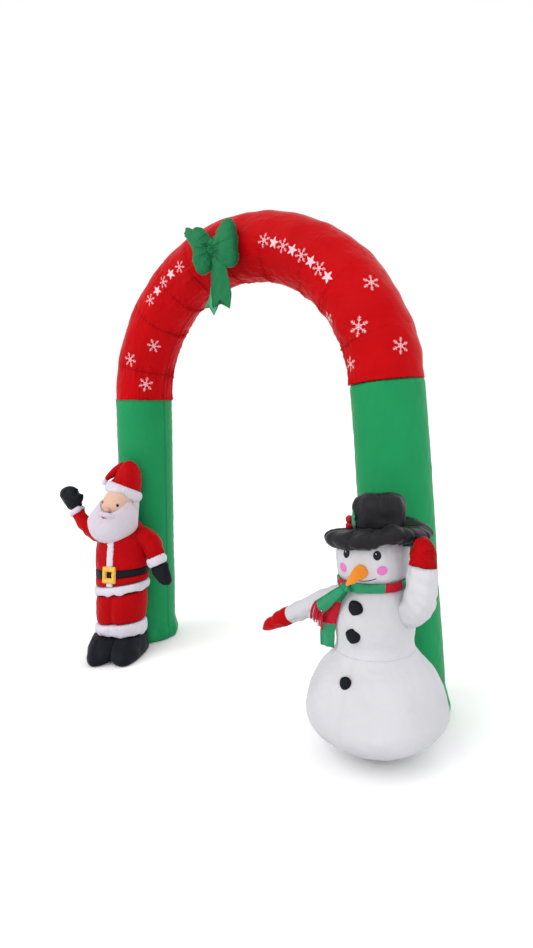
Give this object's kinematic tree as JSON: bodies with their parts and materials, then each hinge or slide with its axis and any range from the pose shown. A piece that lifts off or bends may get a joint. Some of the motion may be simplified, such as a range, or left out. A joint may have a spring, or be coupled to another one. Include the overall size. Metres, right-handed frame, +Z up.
{
  "type": "inflatable arch",
  "caption": "Walk-through inflatable arch: a red half-ring on green legs with a bow on top, and a Father Christmas and a snowman at its feet.",
  "frame": {"origin": "middle of the footprint's bounding box, on the floor", "axes": "+Z up, -Y the front that shows the bow, +X towards the snowman"},
  "size_m": [2.3998, 0.858, 2.3957],
  "materials": {
    "arch_red": "satin",
    "arch_green": "satin",
    "bow_green": "satin",
    "coat_red": "satin",
    "white": "satin",
    "black": "satin",
    "skin": "satin",
    "gold": "satin",
    "carrot": "satin",
    "leaf_green": "satin",
    "scarf_green": "satin",
    "scarf_red": "satin"
  },
  "bodies": {
    "root": {"gore_1": "arch_red", "gore_2": "arch_red", "gore_3": "arch_red", "gore_4": "arch_red", "gore_5": "arch_red", "gore_6": "arch_red", "gore_7": "arch_red", "gore_8": "arch_red", "gore_9": "arch_red", "gore_10": "arch_red", "leg_left": "arch_green", "leg_right": "arch_green", "bow_loop_left": "bow_green", "bow_loop_right": "bow_green", "bow_knot": "bow_green", "bow_tail_front": "bow_green", "bow_tail_back": "bow_green", "santa_trousers": "coat_red", "santa_coat_skirt": "coat_red", "santa_coat_chest": "coat_red", "santa_hat": "coat_red", "santa_raised_sleeve": "coat_red", "santa_lowered_sleeve": "coat_red", "santa_trouser_cuff": "white", "santa_coat_hem": "white", "santa_beard": "white", "santa_hat_band": "white", "santa_hat_end": "white", "santa_trim_upper": "white", "santa_trim_lower": "white", "santa_raised_cuff": "white", "santa_lowered_cuff": "white", "snowman_ball": "white", "snowman_torso": "white", "snowman_head": "white", "snowman_raised_arm": "white", "snowman_reaching_arm": "white", "santa_boot_left": "black", "santa_boot_right": "black", "santa_belt": "black", "santa_raised_mitten": "black", "santa_lowered_mitten": "black", "snowman_hat_brim": "black", "snowman_hat_crown": "black", "snowman_button_top": "black", "snowman_button_middle": "black", "snowman_button_low": "black", "santa_head": "skin", "santa_nose": "skin", "santa_buckle": "gold", "snowman_nose": "carrot", "snowman_holly_leaf": "leaf_green", "snowman_scarf_band": "scarf_green", "snowman_scarf_short": "scarf_green", "snowman_scarf_long": "scarf_red", "snowman_scarf_fringe": "scarf_red", "snowman_berry_upper": "scarf_red", "snowman_berry_lower": "scarf_red", "snowman_raised_mitten": "scarf_red", "snowman_reaching_mitten": "scarf_red"}
  },
  "joints": []
}
